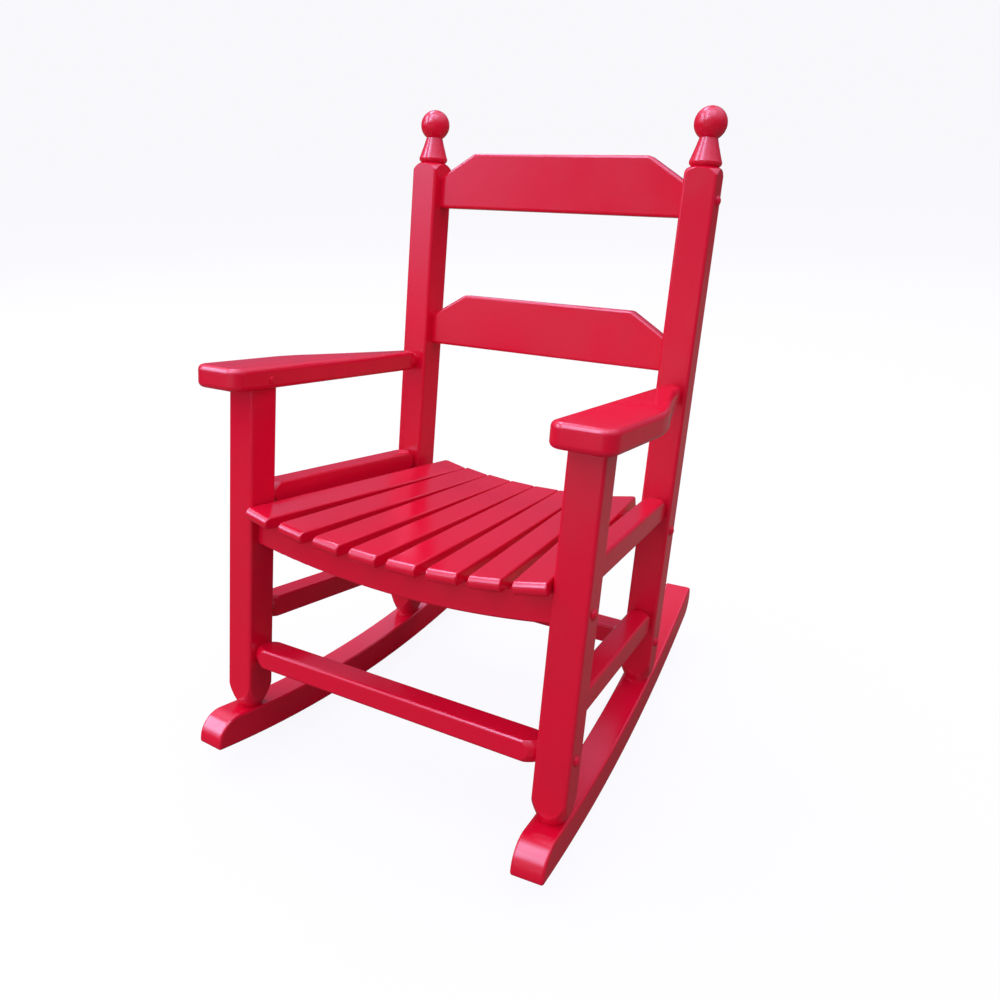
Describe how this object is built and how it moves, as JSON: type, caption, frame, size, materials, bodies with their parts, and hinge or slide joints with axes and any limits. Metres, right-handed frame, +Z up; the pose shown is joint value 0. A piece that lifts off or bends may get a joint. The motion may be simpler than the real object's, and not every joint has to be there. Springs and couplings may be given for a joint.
{
  "type": "childrens rocking chair",
  "caption": "Small wooden armchair on curved rockers, with a dished slatted seat, a two-board back and ball-finial posts; its two glued side frames are bolted to cross rails.",
  "frame": {"origin": "on the floor, under the centre of the chair's box, at rest on its rockers", "axes": "+X to the right as seen from the front, +Y from the front of the seat to the back, +Z up"},
  "size_m": [0.41, 0.5008, 0.6038],
  "materials": {
    "paint_red": "cherry red satin-gloss paint over close-grained wood",
    "steel_painted": "steel head painted over in the cherry red of the frame",
    "steel_zinc": "bright zinc plate",
    "bare_wood": "unpainted, glued"
  },
  "bodies": {
    "root": {"arm_left": "paint_red", "arm_pins": "steel_painted", "arm_right": "paint_red", "barrel_nuts": "steel_zinc", "crest_rail": "paint_red", "frame_bolts": "steel_painted", "front_leg_left": "paint_red", "front_leg_right": "paint_red", "front_stretcher": "paint_red", "lower_back_slat": "paint_red", "rail_dowels": "bare_wood", "rear_post_left": "paint_red", "rear_post_right": "paint_red", "rear_stretcher": "paint_red", "rocker_left": "paint_red", "rocker_right": "paint_red", "seat_front_rail": "paint_red", "seat_rear_rail": "paint_red", "seat_side_rail_left": "paint_red", "seat_side_rail_right": "paint_red", "seat_slat_1": "paint_red", "seat_slat_2": "paint_red", "seat_slat_3": "paint_red", "seat_slat_4": "paint_red", "seat_slat_5": "paint_red", "seat_slat_6": "paint_red", "seat_slat_7": "paint_red", "seat_slat_8": "paint_red", "side_stretcher_left": "paint_red", "side_stretcher_right": "paint_red", "slat_dowels": "bare_wood"}
  },
  "joints": []
}
